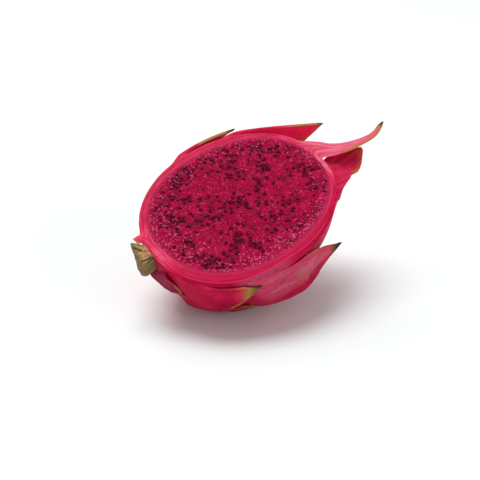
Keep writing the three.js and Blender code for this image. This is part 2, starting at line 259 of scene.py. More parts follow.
# Bracts that run along a line of their own. `looks` is where their outside looks at the root and
# at the tip, `curl` how strongly they curl across at each, and `slant` shears the tip.
FREE = [USUAL | dict(curl=(0, 0), slant=0) | own for own in (
    dict(name="flared_front",
         points=[(-35, -35.3, -17), (-20.4, -46.9, -16.3), (-8.3, -49.9, -14.4),
                 (4.4, -51.3, -13.2), (18, -49.7, -12.5), (35.1, -48.3, -14.8)],
         looks=(outward(14), outward(-12, 0.15)), curl=(0.021, 0.008), wide=24.5, waist=0.7,
         thick=1.5, blunt=2.1, sharp=1.2, green=(0.5, 0.2, 0.7), wax=(0.9, 1.0, 0.1),
         inner_from=0.62, cork=[(0.55, -0.2, 0.1, 0.9), (0.6, 0.3, 0.08, 0.5)]),
    dict(name="crown_split",
         points=[(46, 6, 0), (61, -6, 0), (70, -10.3, 0),
                 (82, -13.3, 0), (95, -13.8, 0), (106.7, -8.2, 0)],
         looks=(outward(50), outward(50)), wide=17, thick=3, root_thick=15, blunt=1.8, sharp=1,
         fade=2.6, green=(0.45, 0.2, 0.9), dry_from=0.93),
    dict(name="crown_scoop",
         points=[(17.1, -30.4, -11.7), (34.3, -25.6, -9.4), (51.8, -17.2, -6.5),
                 (64.4, -14.5, -8.5), (74, -14, -9.8), (85.9, -12, -5.4)],
         looks=(outward(90), outward(90)), curl=(0, 0.08), slant=0.5, wide=11.5, waist=1,
         blunt=6, sharp=1, fade=1, green=(0.6, 0.1, 0.5), dry_from=1.1,
         cork=[(0.62, 0.45, 0.03, 0.1)]),
    dict(name="crown_far",
         points=[(12, 40, 0), (25, 42.6, 0), (36.3, 42, 0),
                 (50, 34.6, 0), (66, 23.6, 0), (80, 13.4, 0)],
         looks=(outward(180), outward(180)), curl=(0.02, 0.04), wide=19, thick=1.5, blunt=7,
         sharp=1, green=(0.55, 0.5, 0.3), dry_from=0.97, brown_from=0.72, thin=0.85),
    dict(name="crown_belly",
         points=[(28, 6, -47), (42, 6, -42), (55, 5, -36), (66, 3, -31.5), (78, 0, -28)],
         looks=(outward(98), outward(98, -0.5)), curl=(0.02, 0.03), wide=14, blunt=3, sharp=1.2),
    dict(name="crown_under_far",
         points=[(28, 33, -28), (41, 29.5, -26), (54, 23.5, -23.5), (64, 18, -22), (73, 12, -21.5)],
         looks=(outward(145), outward(140, -0.4)), curl=(0.02, 0.03), wide=12, blunt=3, sharp=1.2),
    dict(name="stem_side",
         points=[(-51, 4, -4), (-56, -2.5, -9.5), (-55.3, -10.5, -13), (-51.5, -17.5, -17)],
         looks=(outward(25, -1.3), outward(30, -1)), wide=8.5, waist=0.9, thick=1.8, sharp=1,
         green=(0.7, 0.4, 0.9), wax=(0, 0.1, 0.3), dry_from=0.93, deep=1.0,
         cork=[(0.75, 0.3, 0.25, 0.6)]),
    dict(name="stem_neck",
         points=[(-41, 12.5, 0), (-46.5, 17.8, 0), (-50.8, 19.2, 0), (-55.2, 19.4, 0)],
         looks=(outward(180), outward(180)), wide=6, thick=4.5, root_thick=13, blunt=3, sharp=1,
         fade=1.1, green=(0.5, 0.5, 0.75), dry_from=1.2),
)]

# ---- solids: meshes joined and cut ----

PLACE_DIGITS = 4  # digits of a millimetre that tell one place from another
PLACES = ("fruit", "rim", "fibres", "sunk")  # what holds three numbers for a point, not one


def layers_of(bm, *names):
    """The layers of those names, made if they aren't there."""
    held = bm.verts.layers
    kinds = [held.float_vector if name in PLACES else held.float for name in names]
    return [kind[name] if name in kind else kind.new(name) for kind, name in zip(kinds, names)]


def nearest_of(places):
    """A tree that finds the nearest of some places."""
    tree = KDTree(len(places))
    for index, place in enumerate(places):
        tree.insert(place, index)
    tree.balance()
    return tree


def face_outwards(bm):
    bm.normal_update()  # the next step judges by normals, which are stale once points have moved
    bmesh.ops.recalc_face_normals(bm, faces=bm.faces)


def placed(name, data):
    """A new object in the scene."""
    made = bpy.data.objects.new(name, data)
    bpy.context.scene.collection.objects.link(made)
    return made


def object_of(bm, name):
    """A bmesh as an object. The bmesh is used up."""
    mesh = bpy.data.meshes.new(name)
    bm.to_mesh(mesh)
    bm.free()
    return placed(name, mesh)


def put_in_order(parts, place):
    """Sorts points or faces by place, because the solver's threads hand them over in any order."""
    rounded = {part: tuple(round(number, PLACE_DIGITS) for number in place(part)) for part in parts}
    for rank, part in enumerate(sorted(parts, key=rounded.get)):
        part.index = rank
    parts.sort()


def combined(base, tools, operation):
    """`base` with every tool joined to it or cut from it, as a bmesh. The objects are used up."""
    for tool in tools:
        step = base.modifiers.new(tool.name, "BOOLEAN")
        step.operation = operation
        step.solver = "MANIFOLD"
        step.object = tool
    bpy.context.view_layer.update()
    solved = base.evaluated_get(bpy.context.evaluated_depsgraph_get())
    mesh = bpy.data.meshes.new_from_object(solved)
    bm = bmesh.new()
    bm.from_mesh(mesh)
    bpy.data.meshes.remove(mesh)
    for used in (base, *tools):
        bpy.data.objects.remove(used)
    put_in_order(bm.verts, lambda vert: vert.co)
    put_in_order(bm.faces, lambda face: face.calc_center_median())
    return bm


def block(name, middle, turn=Matrix()):
    """A cube that reaches well past the fruit."""
    bm = bmesh.new()
    bmesh.ops.create_cube(bm, size=REACH, matrix=turn @ Matrix.Translation(middle))
    return object_of(bm, name)


def knife():
    """Everything above the cut face."""
    return block("knife", (0, 0, REACH / 2))


def floor_under():
    """Everything under the surface that the fruit rests on, seen from the fruit's own frame."""
    return block("floor_under", (0, 0, -CUT_MIDDLE.z - REACH / 2), TIP_OVER.inverted())


# ---- the peel ----

SKIN_SIDES, SKIN_RINGS = 168, 96
BRACT_STEP, BRACT_COLUMNS, LEAST_ROWS = 1.3, 22, 14  # size of a bract's facets along it, and counts
BRACT_DRAWS, PLACE_DRAWS, SEED_DRAWS = 11, 7, 23  # where each series of random draws starts
NICK, NICK_LONG, NICK_APART = 0.05, 7, 0.3  # how deep and long a margin's nicks are
RIPPLE, RIPPLE_HEIGHT = 1.9, 0.1  # distance and height of the fine ridges along a bract
SHRIVEL, SHRIVEL_SIZE = 0.5, 3  # how far the dried tips are crumpled
NICKED, RIPPLED, SHRIVELLED = (0.2, 0.5), (0.15, 0.4), (0.82, 1)  # where along a bract they set in
TIP_NARROW, MARGIN_THIN = 0.5, 0.72  # share of its width and of its thickness that a bract loses
CREASE, CREASE_REACH, CREASE_ROUNDS = 12, 2, 8  # degrees of fold, points beyond it, and rounds
BRACT_NEARER = 0.02  # how close to a bract's face a point belongs to it and not to the skin
SKIN_LUMPS, SKIN_LUMP_SIZE = 0.35, 22  # how far the round of the fruit swells and sinks
CUT_LEVEL, CUT_UPRIGHT = 0.01, 0.999  # how level and how straight up a facet of the cut is
CUT_STEP, SPLIT_ROUNDS = 1.1, 9  # longest facet on the peel's cut face
CUT_EDGE_DROP, CUT_EDGE_WIDE, CUT_EDGE_DEEP = 0.3, 0.9, 1.5  # how it rounds off towards the skin
NEAR_SIDE = ((Y, -6, -18), (X, 40, 24))  # edges of the part that has a rounded shoulder
SHOULDER = (1.6, 2.1)  # width of the shoulder, and what the middle adds
SHOULDER_MIDDLE = (-9, 14)  # where along the fruit it is widest, and over what length
SHOULDER_FROM, SHOULDER_DROP = 0.5, 1.6
SHOULDER_DEEP = 6.0  # how far below the cut the skin follows it
CUT_SWELL, CUT_SWELL_WIDE = 0.25, 2.6  # how far it stands up between the skin and the flesh
CUT_GRAIN, CUT_GRAIN_SIZE = 0.07, 2.5  # how rough the knife left it
RIM_STREAK = 5.0  # the streaks round the cut peel: the lower, the longer

MARGIN, WAX_AND_SHEEN_HALF = (0.3, 0.95), (0, 0.7)  # from where across a bract its sides start, to the full
# Along a bract: where the green margins set in, where the wax bloom with its painted sheen lies,
# and where the painted shade lies.
GREEN_ALONG, WAX_AND_SHEEN_ALONG, PAINTED_SHADE_ALONG = (0.45, 0.8), (0, 0.35), (0.1, 0.3)
TIP_FULL = 0.98
WAX_AND_SHEEN_RIM = ((X, -40, -28), (X, 9, -18), (Y, -30, -38))  # the rim that the front bract grows from
WAX_AND_SHEEN_RIM_DEEP, WAX_AND_SHEEN_RIM_MOST = (-16, -10), 0.9
CORK_FULL = 0.2  # share of a patch that is corky right through
BROWN_DEEP, BROWN_MOST = (-0.9, -0.3), 0.9
# Where the peel grows paler, along the fruit at the crown and the stem, and where light is painted
# on it across its far side, and by how much. The stem end does so more on its far side.
PALE_CROWN, PALE_STEM, PALE_AND_LIT_FAR, PALE_STEM_FAR = (44, 68), (-36, -50), (10, 30), (-16, -2)
PALE_AND_LIT_FAR_MOST, PALE_STEM_LEAST, PALE_STEM_MORE = 0.2, 0.1, 0.3
# Pale patches at the crown and at the stem end, which are partly a painted highlight.
PALE_AND_LIT_SPOTS = [(55.2, -10.1, 4.5, 0.8), (56.7, -5.4, 4, 0.6), (57.5, -16, 3.5, 0.5),
              (-51.8, 4.2, 5, 0.4), (-53, -1, 4, 0.4)]  # x, y, size and strength
CUT_GREEN_DEEP = (1.2, 0.2)  # how far from the skin a green margin still shows on the cut
SPLIT_TIP = (86, 96)  # where along the fruit the split bract is green right through
SPLIT_NEAR = ((X, 64, 72), (Y, -9, -11))  # its near margin, green along the cut
SPLIT_NEAR_DEEP = (1.1, 0.4)
MARKS = ("inner", "depth", "green", "dry", "pale_and_lit", "wax", "cork", "thin", "rind", "deep")


def skin_relief(place):
    return SKIN_LUMPS * noise.noise(place / SKIN_LUMP_SIZE)


def bract(spec, layout, rng):
    """One leaf-like scale as a closed bmesh. Its points hold how far along it they lie, how far
    across from -1 to 1, and whether they are on the inner face."""
    length = spec.get("long") or (Vector(spec["points"][-1]) - Vector(spec["points"][0])).length
    drift = Vector([rng.uniform(-50, 50) for _ in range(3)])
    bm = bmesh.new()
    along, side, inner, sunk = layers_of(bm, "along", "side", "inner", "sunk")
    rows = max(LEAST_ROWS, round(length / BRACT_STEP))
    bmesh.ops.create_grid(bm, x_segments=rows, y_segments=BRACT_COLUMNS, size=1)
    for vert in bm.verts:
        u, v = (vert.co.x + 1) / 2, vert.co.y
        widened = math.sin(math.pi / 2 * min(1, u / WIDEN_SHARE))
        spread = spec["waist"] + (1 - spec["waist"]) * widened
        nicks = noise.noise(drift + Vector((u * length / NICK_LONG, v * NICK_APART, 0)))
        half = spec["wide"] * spread * (1 - min(u, 1) ** spec["blunt"]) ** spec["sharp"]
        half *= 1 + NICK * blend(*NICKED, u) * nicks
        half = max(LEAST_HALF_WIDTH * (1 - TIP_NARROW * u), half)
        face, facing = layout(u, v, half)
        ridge = RIPPLE_HEIGHT * math.sin(v * half * 2 * math.pi / RIPPLE) * blend(*RIPPLED, u)
        crumple = SHRIVEL * blend(*SHRIVELLED, u) * noise.noise(drift + face / SHRIVEL_SIZE)
        waved = MARGIN_WAVE * u * v * v * math.sin(MARGIN_WAVES * u + MARGIN_PHASE * v)
        vert.co = face + facing * (waved + ridge * (1 - v * v) + crumple)
        vert[along], vert[side] = u, v
        body = spec["thick"] + (spec["root_thick"] - spec["thick"]) * (1 - u) ** spec["fade"]
        vert[sunk] = facing * max(LEAST_THICK, body * (1 - MARGIN_THIN * v * v))
    copied = bmesh.ops.extrude_face_region(bm, geom=bm.faces[:], use_keep_orig=True)["geom"]
    for vert in (part for part in copied if isinstance(part, bmesh.types.BMVert)):
        vert.co -= vert[sunk]
        vert[inner] = 1
    face_outwards(bm)
    return bm


def soften_creases(bm):
    """Rounds off the valleys where one surface runs into another, and leaves the ridges."""
    near = set()
    for edge in bm.edges:
        if edge.is_manifold and edge.calc_face_angle_signed(0) < -math.radians(CREASE):
            near.update(edge.verts)
    for _ in range(CREASE_REACH):
        near.update([edge.other_vert(vert) for vert in near for edge in vert.link_edges])
    in_order = [vert for vert in bm.verts if vert in near]
    for _ in range(CREASE_ROUNDS):
        bmesh.ops.smooth_vert(bm, verts=in_order, factor=0.5,
                              use_axis_x=True, use_axis_y=True, use_axis_z=True)


def on_the_cut(face):
    return face.normal.z > CUT_UPRIGHT and all(abs(v.co.z) < CUT_LEVEL for v in face.verts)


def cut_points(bm):
    return dict.fromkeys(v for face in bm.faces if on_the_cut(face) for v in face.verts)


def refine_cut(bm, longest):
    """Splits the big facets of the cut face until no edge on it is longer than `longest`.

    The edges are kept in dicts, because a set would hand them on in another order each run."""
    bm.normal_update()
    for _ in range(SPLIT_ROUNDS):
        edges = dict.fromkeys(edge for face in bm.faces if on_the_cut(face) for edge in face.edges)
        long_ones = [edge for edge in edges if edge.calc_length() > longest]
        if not long_ones:
            return
        bmesh.ops.subdivide_edges(bm, edges=long_ones, cuts=1)
        flat = bmesh.ops.triangulate(bm, faces=[f for f in bm.faces if on_the_cut(f)])["faces"]
        whole = set(flat)
        inside = dict.fromkeys(edge for face in flat for edge in face.edges
                               if whole.issuperset(edge.link_faces))
        bmesh.ops.beautify_fill(bm, faces=flat, edges=list(inside))


def all_bracts():
    """Every bract joined in one object, and samples of their marks by place."""
    rng = random.Random(BRACT_DRAWS)
    samples, scales = [], []
    for layouts, specs in ((follow_peel, HUGGING), (follow_line, FREE)):
        for spec in specs:
            bm = bract(spec, layouts(spec), rng)
            layers = layers_of(bm, "along", "side", "inner")
            for vert in bm.verts:
                samples.append((vert.co.copy(), spec, *(vert[layer] for layer in layers)))
            scales.append(object_of(bm, spec["name"]))
    joined = object_of(combined(scales[0], scales[1:], "UNION"), "bracts")
    room = object_of(stem_solid(STEM_CLEARANCE), "stem_room")
    return object_of(combined(joined, [room], "DIFFERENCE"), "bracts"), samples


def bract_marks(z, spec, along, side, inner):
    """What the colour of a bract depends on, at a height and a place on it."""
    marks = {"thin": inner * spec["thin"], "deep": spec["deep"] * blend(*PAINTED_SHADE_ALONG, along),
             "dry": blend(spec["dry_from"] - 0.05, spec["dry_from"] + 0.07, along)}
    corky = [blend(1, CORK_FULL, math.hypot((along - at) / long, (side - across) / wide))
             for at, across, long, wide in spec["cork"]]
    marks["cork"] = max(corky, default=0) * (1 - inner)
    clear, brown = spec["inner_from"], spec["brown_from"]
    marks["inner"] = inner * blend(clear - 0.1, clear, along) if clear else inner
    marks["rind"] = BROWN_MOST * blend(brown, brown + 0.12, along) * blend(*BROWN_DEEP, z)
    low, high = (blend(way * MARGIN[0], way * MARGIN[1], side) for way in (-1, 1))
    one, other, tip = spec["green"]
    marks["green"] = max((one * low + other * high) * blend(*GREEN_ALONG, along),
                         tip * blend(spec["tip_from"], TIP_FULL, along))
    low, high = (blend(way * WAX_AND_SHEEN_HALF[0], way * WAX_AND_SHEEN_HALF[1], side) for way in (-1, 1))
    one, middle, other = spec["wax"]
    marks["wax"] = blend(*WAX_AND_SHEEN_ALONG, along) * (one * low + middle * (1 - low - high) + other * high)
    return marks


def paleness_and_light(place):
    """How pale the peel is at a place, with painted light on its far side and in its pale patches.
    """
    stem = PALE_STEM_LEAST + PALE_STEM_MORE * blend(*PALE_STEM_FAR, place.y)
    ends = max(blend(*PALE_CROWN, place.x), PALE_AND_LIT_FAR_MOST * blend(*PALE_AND_LIT_FAR, place.y),
               blend(*PALE_STEM, place.x) * stem)
    return ends + max(strength * blend(size, 0, math.hypot(place.x - x, place.y - y))
                      for x, y, size, strength in PALE_AND_LIT_SPOTS)


def mark_peel(bm, skin_tree, bract_tree, outside_tree, samples):
    """Writes on each point of the peel what its colour depends on."""
    layers = dict(zip(MARKS, layers_of(bm, *MARKS)))
    fruit, rim = layers_of(bm, "fruit", "rim")
    nearest = nearest_of([sample[0] for sample in samples])
    for vert in bm.verts:
        values = dict.fromkeys(MARKS, 0.0)
        to_skin, to_bract = (tree.find_nearest(vert.co)[3] for tree in (skin_tree, bract_tree))
        if to_bract < to_skin + BRACT_NEARER:
            values |= bract_marks(vert.co.z, *samples[nearest.find(vert.co)[1]][1:])
        # the wax on the front bract, with the sheen painted into its colour, goes on over the rim
        # that it grows from
        over_rim = WAX_AND_SHEEN_RIM_MOST * past(vert.co, WAX_AND_SHEEN_RIM) * blend(*WAX_AND_SHEEN_RIM_DEEP, vert.co.z)
        values["wax"] = max(values["wax"], over_rim)
        values["depth"] = outside_tree.find_nearest(vert.co)[3]
        values["pale_and_lit"] = paleness_and_light(vert.co)
        for name, layer in layers.items():
            vert[layer] = values[name]
        vert[fruit] = vert.co
        around = Vector((vert.co.x / PEEL["stem"], vert.co.y / PEEL["half_width"], 0)).normalized()
        vert[rim] = around * RIM_STREAK + Vector((0, 0, values["depth"]))


def round_off(bm, skin_tree, cavity_tree):
    """Gives the cut peel its grain and its swell, and rounds it off towards the skin."""
    depth, green, rind, near, inside, from_flesh = layers_of(
        bm, "depth", "green", "rind", "near", "inside", "from_flesh")
    on_cut = cut_points(bm)
    for vert in (v for v in bm.verts if v.co.z > -SHOULDER_DEEP):
        place, facing, _, _ = skin_tree.find_nearest(vert.co)
        off_middle = (vert.co.x - SHOULDER_MIDDLE[0]) / SHOULDER_MIDDLE[1]
        width = SHOULDER[0] + SHOULDER[1] * math.exp(-off_middle ** 2)
        vert[inside] = (place - vert.co).dot(facing) - width
        vert[near] = past(vert.co, NEAR_SIDE)
        drop = (CUT_EDGE_DROP * (1 - vert[near]) * blend(CUT_EDGE_WIDE, 0, vert[depth])
                * max(0, 1 + vert.co.z / CUT_EDGE_DEEP)
                + SHOULDER_DROP * vert[near] * blend(SHOULDER_FROM, -width, vert[inside])
                * max(0, 1 + vert.co.z / SHOULDER_DEEP))
        if vert in on_cut:
            vert[from_flesh] = cavity_tree.find_nearest(vert.co)[3]
            from_edge = min(vert[depth], vert[from_flesh])
            drop -= CUT_GRAIN * noise.noise(vert.co / CUT_GRAIN_SIZE) * blend(0, 1, from_edge)
            drop -= CUT_SWELL * blend(0, CUT_SWELL_WIDE, from_edge)
        vert.co.z -= drop
    for vert in on_cut:
        margins = max(blend(*CUT_GREEN_DEEP, vert[depth]), blend(*SPLIT_TIP, vert.co.x))
        vert[green] = max(vert[green] * margins,
                          past(vert.co, SPLIT_NEAR) * blend(*SPLIT_NEAR_DEEP, vert[depth]))
    for vert in bm.verts:
        vert[green] = max(vert[green], vert[rind])


def peel_mesh():
    """The rind with its bracts, hollowed for the flesh and cut by the knife."""
    bracts, samples = all_bracts()
    skin = object_of(ovoid(PEEL, SKIN_SIDES, SKIN_RINGS, relief=skin_relief), "skin")
    skin_tree, bract_tree = (tree_of(shape) for shape in (skin, bracts))
    outside = combined(skin, [bracts], "UNION")
    soften_creases(outside)
    outside_tree = BVHTree.FromBMesh(outside)
    cavity = object_of(ovoid(FLESH, SKIN_SIDES, SKIN_RINGS, FLESH_CLEARANCE), "cavity")
    cavity_tree = tree_of(cavity)
    bm = combined(object_of(outside, "outside"), [cavity, knife(), floor_under()], "DIFFERENCE")
    refine_cut(bm, CUT_STEP)
    mark_peel(bm, skin_tree, bract_tree, outside_tree, samples)
    round_off(bm, skin_tree, cavity_tree)
    return bm


def tree_of(shape):
    bm = bmesh.new()
    bm.from_mesh(shape.data)
    tree = BVHTree.FromBMesh(bm)
    bm.free()
    return tree


# ---- the flesh and its seeds ----

FLESH_SIDES, FLESH_RINGS = 360, 150
FLESH_GRAIN, FLESH_GRAIN_SIZE = 0.16, 1.5  # how far the wet grains of the pulp stand up
FLESH_GRAIN_MIDDLE = 0.45  # how far from a grain's middle it is level with the cut
FLESH_SWELLS, FLESH_SWELL_SIZE = 0.5, 4  # broad swells, as a share of the grains
GRAIN_FROM_EDGE = 1.5
RIM_LEVEL = 1e-4  # height on the ball from which it is pressed flat
FIBRES, FIBRE_LONG = 34, 3.5  # how closely the fine fibres lie that run out to the peel
EDGE_SINK, EDGE_SINK_WIDE = 0.15, 2.2  # how far the flesh has drawn back from the cut at its edge
# Where more of the juice cells glisten, with a wet coat and painted glints: towards the edge and in
# two places, and how many more.
WET_AND_GLINT_EDGE, WET_AND_GLINT_EDGE_MORE = (16, 1), 0.08
WET_AND_GLINT_PLACES = [(0.06, [(X, -22, -34)]), (0.1, [(Y, -24, -38), (X, -34, -16)])]
SEED_COUNT = 380
SEED_LONG, SEED_WIDE, SEED_DEEP = 1.25, 0.72, 0.5  # half its length, width and depth
SEED_TAPER = 0.35  # how much narrower it is at its point
SEED_SIDES, SEED_RINGS = 8, 6
SEED_RISE = (-0.42, 0.1)  # least and greatest height of a seed's middle over the cut
SEED_TILT, SEED_SIZES = 0.5, (0.75, 1.15)
SEED_SPACING = 1.3
SEED_MARGIN = 3.2  # clear band inside the edge of the flesh
SEED_SPARSE = 0.035  # how thickly seeds lie between the clusters, as a share of inside them
SEED_HALO, SEEDS_FELT = 1.3, 4  # how far a seed darkens the flesh, and how many do so at a place

# Where the seeds lie thickest on the cut face: middle and spread.
SEED_CLUSTERS = [
    (-32, 12, 4.5), (-18, 4, 4.5), (-7, 4.5, 4), (3, 1, 3.5), (14, -2, 3), (-35, -3, 3),
    (-36, -20, 4.5), (-27, -28, 2), (-15, -18, 4), (-8, -27, 3.5), (3, -25, 2.5), (4, -38, 2),
    (16, -31, 3.5), (9, -18, 3), (24, -19, 3), (41, -18, 3), (46, -4, 4), (44, 16, 3),
    (36, 24, 3.5), (26, 30, 3.5), (30, 13, 3), (15, 20, 3.5), (12, 35, 4.5), (-9, 37, 4),
    (-17, 24, 4), (-30, 26, 3.5), (22, 4, 3),
]


def flesh_grain(place):
    """Height of the pulp's grain over the cut, in cells like the ones that hold the juice."""
    to_middle = noise.voronoi(place / FLESH_GRAIN_SIZE)[0][0]
    swells = FLESH_SWELLS * FLESH_GRAIN * noise.noise(place / FLESH_SWELL_SIZE)
    return FLESH_GRAIN * (FLESH_GRAIN_MIDDLE - to_middle) + swells


def flesh_mesh():
    """The flesh: a ball whose upper half is pressed flat into the cut face."""
    seeds = nearest_of([(x, y, 0) for x, y in seed_places()])
    bm = ball(FLESH_SIDES, FLESH_RINGS)
    margin, shade, wet_and_glint, fruit, fibres = layers_of(
        bm, "margin", "seed_shade", "wet_and_glint", "fruit", "fibres")
    for vert in bm.verts:
        way = vert.co.copy()
        flat = Vector((way.x, way.y, 0)).normalized()
        if way.z < RIM_LEVEL:
            vert.co = on_ovoid(FLESH, way)
            vert[margin] = 0
        else:
            share = 1 - math.asin(min(1, way.z)) / (math.pi / 2)
            edge = on_ovoid(FLESH, flat)
            vert.co = edge * share
            vert[margin] = edge.length * (1 - share)
            near = sum(math.exp(-(far / SEED_HALO) ** 2)
                       for *_, far in seeds.find_n(vert.co, SEEDS_FELT))
            vert[shade] = min(1, near)
            vert.co.z = flesh_grain(vert.co) * blend(0, GRAIN_FROM_EDGE, vert[margin])
            vert.co.z -= EDGE_SINK * blend(EDGE_SINK_WIDE, 0, vert[margin])
        vert[wet_and_glint] = (WET_AND_GLINT_EDGE_MORE * blend(*WET_AND_GLINT_EDGE, vert[margin])
                     + sum(more * past(vert.co, edges) for more, edges in WET_AND_GLINT_PLACES))
        vert[fruit] = vert.co
        vert[fibres] = flat * FIBRES + Vector((0, 0, vert.co.length / FIBRE_LONG))
    return bm


def inside_flesh(x, y, margin):
    return (abs(y - FLESH["shift"]) < radius_at(FLESH, x) - margin
            and -FLESH["stem"] + margin < x < FLESH["crown"] - margin)


def seed_density(x, y):
    """Chance that a seed is kept at a place: 1 in the middle of a cluster."""
    near = max(math.exp(-((x - a) ** 2 + (y - b) ** 2) / (2 * c * c)) for a, b, c in SEED_CLUSTERS)
    return SEED_SPARSE + (1 - SEED_SPARSE) * near


def seed_places():
    rng = random.Random(PLACE_DRAWS)
    places = []
    while len(places) < SEED_COUNT:
        x = rng.uniform(-FLESH["stem"], FLESH["crown"])
        y = rng.uniform(-FLESH["half_width"], FLESH["half_width"])
        if rng.random() > seed_density(x, y) or not inside_flesh(x, y, SEED_MARGIN):
            continue
        if all((x - a) ** 2 + (y - b) ** 2 > SEED_SPACING ** 2 for a, b in places):
            places.append((x, y))
    return places


def seeds_mesh():
    """Small pear-shaped seeds, each half sunk in the cut face and lying its own way."""
    rng = random.Random(SEED_DRAWS)
    pattern = ball(SEED_SIDES, SEED_RINGS)
    for vert in pattern.verts:
        taper = 1 - SEED_TAPER * max(0, vert.co.z)
        vert.co = (vert.co.z * SEED_LONG, -vert.co.x * SEED_WIDE * taper,
                   -vert.co.y * SEED_DEEP * taper)
    face_outwards(pattern)
    seeds = bmesh.new()
    for x, y in seed_places():
        seed = bpy.data.meshes.new("seed")
        pattern.to_mesh(seed)
        seed.transform(Matrix.Translation((x, y, rng.uniform(*SEED_RISE)))
                       @ Matrix.Rotation(rng.uniform(0, math.tau), 4, "Z")
                       @ Matrix.Rotation(rng.uniform(-SEED_TILT, SEED_TILT), 4, "Y")
                       @ Matrix.Scale(rng.uniform(*SEED_SIZES), 4))
        seeds.from_mesh(seed)
        bpy.data.meshes.remove(seed)
    pattern.free()
    return seeds


# ---- the stem ----

STEM_ROOT, STEM_END = (-49, 5.2, 0), (-61, 8.6, -0.6)
STEM_RADIUS = (2.2, 9.7)  # at the root and at the free end
STEM_BELOW = (7.5, 1.6)  # how much further it reaches on its under side
STEM_FLARE = 1.7  # how late it widens
STEM_WORN, STEM_WORN_FROM = 0.16, 0.72  # share of the radius that is rounded off at the free end
STEM_LOBES, STEM_LOBE_DEPTH, STEM_LOBE_AT = 3, 0.24, math.radians(252)
STEM_SIDES, STEM_RINGS = 120, 72
STEM_CAP = 0.25  # share of the ball that is pressed flat into either end
STEM_WRINKLE = 0.56
STEM_WRINKLES = (2.6, 1.2)  # how closely they lie, round it and along it
STEM_TORN, STEM_TORN_FROM, STEM_TORN_SIZE = 0.9, 0.97, 2.2  # how uneven the broken end is
STEM_CUT_STEP = 0.5  # longest facet on its cut face
STEM_CRACK = 0.9  # how deep the slits in its dry pith are
# The ends and the width of the big slits.
STEM_SLITS = [((-58.9, 14.4), (-57.2, 10.4), 1.1), ((-61.3, 4.4), (-55.8, 3.1), 0.6)]
SLIT_FLOOR = 0.25  # share of its width in which a slit is at its deepest
STEM_CHINKS = (7, 2.2, 3)  # how long the fine cracks are, how far apart, and where in the pattern
CHINK_WIDE, CHINK_MOST, CHINK_FROM_RIND = 0.06, 0.45, (0.4, 1.2)


def stem_solid(swell=0.0, worn=0.0):
    """The ribbed stem: a ball pressed into a stub, its rings shared between side and ends."""
    root, end = Vector(STEM_ROOT), Vector(STEM_END)
    ahead = (end - root).normalized()
    end = end + ahead * swell
    side = Vector((0, 0, 1))
    across = ahead.cross(side)
    bm = ball(STEM_SIDES, STEM_RINGS)
    for vert in bm.verts:
        polar = math.acos(clamp(vert.co.z, -1, 1)) / math.pi
        share = clamp((1 - STEM_CAP - polar) / (1 - 2 * STEM_CAP), 0, 1)
        reach = min(1, polar / STEM_CAP, (1 - polar) / STEM_CAP)
        turn = math.atan2(-vert.co.y, vert.co.x)
        lobe = 1 + STEM_LOBE_DEPTH * math.cos(STEM_LOBES * (turn - STEM_LOBE_AT))
        near_root, near_end = (radius + more * max(0, -math.sin(turn))
                               for radius, more in zip(STEM_RADIUS, STEM_BELOW))
        late = max(0, (share - STEM_WORN_FROM) / (1 - STEM_WORN_FROM))
        wide = (near_root + (near_end - near_root) * share ** STEM_FLARE) * lobe
        wide = wide * (1 - STEM_WORN * late * late) + swell
        around, along = STEM_WRINKLES
        wrinkle = Vector((math.cos(turn) * around, math.sin(turn) * around, share * along))
        wide += worn * STEM_WRINKLE * noise.noise(wrinkle)
        place = root.lerp(end, share)
        place += (across * math.cos(turn) + side * math.sin(turn)) * wide * reach
        broken = blend(STEM_TORN_FROM, 1, share)
        uneven = 0.5 + noise.noise(place / STEM_TORN_SIZE)
        place -= ahead * worn * STEM_TORN * broken * uneven
        vert.co = place
    return bm


def off_line(place, start, end):
    """How far a place on the cut lies from the stretch between two others."""
    nearest, share = geometry.intersect_point_line(place.xy, start, end)
    if share < 0 or share > 1:
        nearest = Vector(end if share > 1 else start)
    return (place.xy - nearest.xy).length


def stem_mesh():
    """The stub, cut by the knife and fitted to the peel."""
    whole = stem_solid(worn=1)
    bark_tree = BVHTree.FromBMesh(whole)
    peel_room = object_of(ovoid(PEEL, SKIN_SIDES, SKIN_RINGS, STEM_CLEARANCE), "peel_room")
    bm = combined(object_of(whole, "stub"), [peel_room, knife()], "DIFFERENCE")
    refine_cut(bm, STEM_CUT_STEP)
    depth, slit, fruit = layers_of(bm, "depth", "slit", "fruit")
    for vert in bm.verts:
        vert[depth] = bark_tree.find_nearest(vert.co)[3]
        vert[fruit] = vert.co
    for vert in cut_points(bm):
        long, apart, level = STEM_CHINKS
        across = abs(noise.noise(Vector((vert.co.x / long, vert.co.y / apart, level))))
        chink = CHINK_MOST * blend(CHINK_WIDE, 0, across) * blend(*CHINK_FROM_RIND, vert[depth])
        vert[slit] = max(chink, *(blend(wide, SLIT_FLOOR * wide, off_line(vert.co, start, end))
                                  for start, end, wide in STEM_SLITS))
        vert.co.z -= STEM_CRACK * vert[slit]
    return bm


# ---- materials ----


def rgb(code):
    """A hexadecimal sRGB colour as linear RGBA."""
    parts = [int(code[i:i + 2], 16) / 255 for i in (1, 3, 5)]
    linear = [c / 12.92 if c <= 0.04045 else ((c + 0.055) / 1.055) ** 2.4 for c in parts]
    return (*linear, 1)


